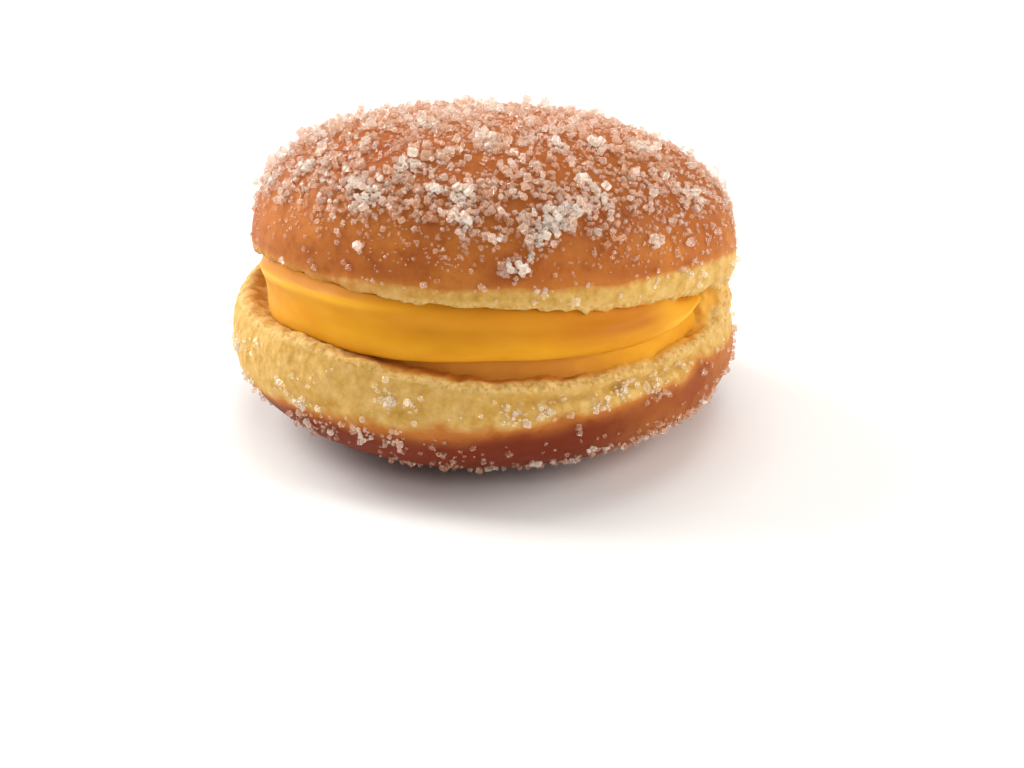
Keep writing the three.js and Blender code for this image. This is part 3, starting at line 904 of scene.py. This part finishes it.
def friedDough():
    # yeast dough fried in oil: a matt golden brown skin, a pale belt that floated over the oil and an
    # open crumb
    material, tree = newMaterial("fried_yeast_dough")
    browned, deep, crumb, shadedTop, soakedAndShaded, onWall, scorched = readTones(
        tree, "browned", "deepFried", "crumb", "shadedTop", "soakedAndShaded", "onWall", "scorched")
    colour = {name: linear(value) for name, value in doughColours.items()}
    cloudy, mottled, fine = mottle(tree, 14, 3), mottle(tree, 3.2, 4, 0.6), mottle(tree, 0.9, 3, 0.6)
    ragged = addNode(tree, "ShaderNodeMath", {0: mottled, 1: 0.35, 2: -0.17}, operation="MULTIPLY_ADD")
    edge = addNode(tree, "ShaderNodeMath", {0: browned, 1: ragged.outputs[0]}, operation="ADD").outputs[0]
    amount = spreadOut(tree, {
        "paleShade": (mottled, 0.35, 0.7, 0, 1), "gold": (cloudy, 0.35, 0.65, 0, 1),
        "dark": (mottled, 0.52, 0.78, 0, 0.6), "ring": (edge, 0.05, 0.5, 0, 1),
        "skin": (edge, 0.4, 0.95, 0, 1), "crumb": (fine, 0.36, 0.62, 0, 1), "torn": (crumb, 0.1, 0.7, 0, 0.9),
        "patchyShade": (cloudy, 0.3, 0.6, 0.25, 0.7), "speckled": (fine, 0.3, 0.7, 0, 0.16),
        "rough": (mottled, 0.3, 0.7, 0.5, 0.68)})
    # patchy painted shade on the top of the dome, as if under the sugar
    sugarShaded = addNode(tree, "ShaderNodeMath", {0: shadedTop, 1: amount["patchyShade"]}, operation="MULTIPLY")
    pale = layColours(tree, colour["pale"], (amount["paleShade"], colour["paleShade"]))
    skin = layColours(tree, colour["brown"], (amount["gold"], colour["gold"]),
                      (amount["dark"], colour["dark"]), (deep, colour["deep"]))
    torn = layColours(tree, colour["crumbShade"], (amount["crumb"], colour["crumb"]))
    # the wall coat is lightened as painted light and the soaked coat darkened as painted shade
    base = layColours(tree, pale, (amount["ring"], colour["gold"]), (amount["skin"], skin),
                      (amount["torn"], torn), (onWall, colour["wall"]), (soakedAndShaded, colour["soakedAndShaded"]),
                      (sugarShaded.outputs[0], colour["underSugarShade"]), (scorched, colour["scorched"]),
                      (amount["speckled"], colour["dark"]))
    height = layColours(tree, mottled, (0.5, fine))
    bump = addNode(tree, "ShaderNodeBump", {"Strength": 0.35, "Distance": 0.4 * mm, "Height": height})
    finishMaterial(tree, {
        "IOR": 1.45, "Specular IOR Level": 0.15, "Subsurface Weight": 0.18,
        "Subsurface Radius": (1.0, 0.5, 0.2), "Subsurface Scale": 1.4 * mm,
        "Base Color": base, "Roughness": amount["rough"], "Normal": bump.outputs[0]})
    return material


# painted shade darkens the ribbon and its older layer, a painted highlight lightens its edges, and crumbs
# near the wall take the wall's colour with its painted light
custardColours = {"base": "#E09E1E", "cloud": "#D69018", "shadedDeeper": "#BF7318", "paintedHighlight": "#EEB336",
                  "stainedAndShaded": "#CF8830", "crumbed": doughColours["wall"]}


def eggCustard():
    # cooked egg custard: smooth, a little translucent, with a soft gloss where it was spread
    material, tree = newMaterial("egg_custard")
    colour = {name: linear(value) for name, value in custardColours.items()}
    cloudy, fine = mottle(tree, 11, 2, 0.5, (1, 1, 2.5)), mottle(tree, 1.6, 3, 0.5)
    amount = spreadOut(tree, {"cloud": (cloudy, 0.3, 0.7, 0, 1), "rough": (cloudy, 0.3, 0.7, 0.42, 0.56)})
    tones = ("shadedDeeper", "paintedHighlight", "stainedAndShaded", "crumbed")
    coats = [(share, colour[name]) for name, share in zip(tones, readTones(tree, *tones))]
    base = layColours(tree, colour["base"], (amount["cloud"], colour["cloud"]), *coats)
    bump = addNode(tree, "ShaderNodeBump", {"Strength": 0.15, "Distance": 0.2 * mm, "Height": fine})
    finishMaterial(tree, {
        "IOR": 1.4, "Specular IOR Level": 0.15, "Subsurface Weight": 0.35,
        "Subsurface Radius": (1.0, 0.6, 0.1), "Subsurface Scale": 2.2 * mm,
        "Base Color": base, "Roughness": amount["rough"], "Normal": bump.outputs[0]})
    return material


# the ridge colours are a painted glint, lighter than the faces
sugarColours = {"milky": "#FFEEDC", "milkyGlint": "#FFFDF6", "onBrown": "#E2A26E", "onBrownGlint": "#FCD2AC",
                "onPale": "#FFEBB4", "onPaleGlint": "#FFF8DC", "onDeep": "#C47C50", "onDeepGlint": "#F0BC98"}


def sugarCrystals(name, transmission, alpha):
    # coarse white sugar: clear crystals take the tone of the crust with a painted glint on their ridges, and
    # the ones in the heaps are milky
    material, tree = newMaterial(name)
    browned, deep, milky, ridge = readTones(tree, "browned", "deepFried", "milky", "ridge")
    colour = {label: linear(value) for label, value in sugarColours.items()}
    # the ridge faces get a lighter colour: a painted glint
    face, edge = (layColours(tree, colour["onPale" + end], (browned, colour["onBrown" + end]),
                             (deep, colour["onDeep" + end]), (milky, colour["milky" + end]))
                  for end in ("", "Glint"))
    rough = spreadOut(tree, {"rough": (mottle(tree, 2.0, 2), 0.3, 0.7, 0.1, 0.3)})["rough"]
    finishMaterial(tree, {
        "IOR": 1.54, "Transmission Weight": transmission, "Alpha": alpha,
        "Base Color": layColours(tree, face, (ridge, edge)), "Roughness": rough})
    return material


def paleFloor():
    material, tree = newMaterial("white_table")
    finishMaterial(tree, {"Base Color": linear("#F4F3F1"), "Roughness": 0.6})
    return material


# Stage and light.
def makeFloor():
    deselectAll()
    bpy.ops.mesh.primitive_plane_add(size=8, location=(0, 0, 0))
    floor = bpy.context.object
    floor.name = "floor"
    floor.data.materials.append(paleFloor())


# Places and sizes in metres, powers in watts.
lights = {
    "left_window": {"from": (-1.15, 0.15, 0.8), "size": 0.9, "power": 24, "colour": (1, 0.985, 0.96)},
    "right_window": {"from": (1.15, 0.25, 0.6), "size": 0.8, "power": 11, "colour": (1, 0.985, 0.96)},
    "ceiling": {"from": (0.0, 0.35, 1.4), "size": 1.1, "power": 10, "colour": (1, 1, 1)},
    "front_lamp": {"from": (0.55, -1.1, 1.0), "size": 0.5, "power": 4, "colour": (1, 0.99, 0.97)},
}
aimedAt = Vector((0, 0, 0.03))
roomLight = {"seen": 1.0, "lamp": 0.3}  # white to look at and in reflections, dimmer as a lamp


def makeLights():
    for name, light in lights.items():
        data = bpy.data.lights.new(name, "AREA")
        data.energy, data.size, data.color = light["power"], light["size"], light["colour"]
        lamp = bpy.data.objects.new(name, data)
        lamp.location = light["from"]
        lamp.rotation_euler = (aimedAt - lamp.location).to_track_quat("-Z", "Y").to_euler()
        bpy.context.scene.collection.objects.link(lamp)
    world = bpy.data.worlds.new("white_room")
    world.use_nodes = True
    tree = world.node_tree
    diffuse = addNode(tree, "ShaderNodeLightPath").outputs["Is Diffuse Ray"]
    strength = addNode(tree, "ShaderNodeMapRange", {0: diffuse, 3: roomLight["seen"], 4: roomLight["lamp"]})
    background = tree.nodes["Background"]
    background.inputs[0].default_value = (1, 1, 1, 1)
    tree.links.new(strength.outputs[0], background.inputs[1])
    bpy.context.scene.world = world


def placeOnFrame(piece, node, slot, *materials):
    piece.data.materials.clear()
    for material in materials:
        piece.data.materials.append(material)
    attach(piece, "root")
    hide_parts(node)


makeCamera()
makeFloor()
makeLights()
print("stage, lights and camera are set")

doughPiece = makeDough()
placeOnFrame(doughPiece, "dough_bun", "fried_dough", friedDough())
print("dough done:", len(doughPiece.data.polygons), "faces")

custardPiece = makeCustard()
placeOnFrame(custardPiece, "custard_filling", "egg_custard", eggCustard())
print("custard done:", len(custardPiece.data.polygons), "faces")

samples = crustSamples(doughPiece)
crystal = makeCrystal()
clearSugar = sugarCrystals("clear_sugar_crystals", transmission=0.45, alpha=0.5)
heapedSugar = sugarCrystals("heaped_sugar_crystals", transmission=0.38, alpha=0.62)
for sugarName, sugarKind in sugarKinds.items():
    sugarPiece, heapedFaces = strewCrystals(sugarName, sugarKind, samples, crystal)
    placeOnFrame(sugarPiece, "dough_bun", "coarse_sugar", clearSugar, heapedSugar)
    sugarPiece.data.polygons.foreach_set("material_index", heapedFaces.astype(np.int32))

bpy.context.scene.view_settings.view_transform = "Standard"
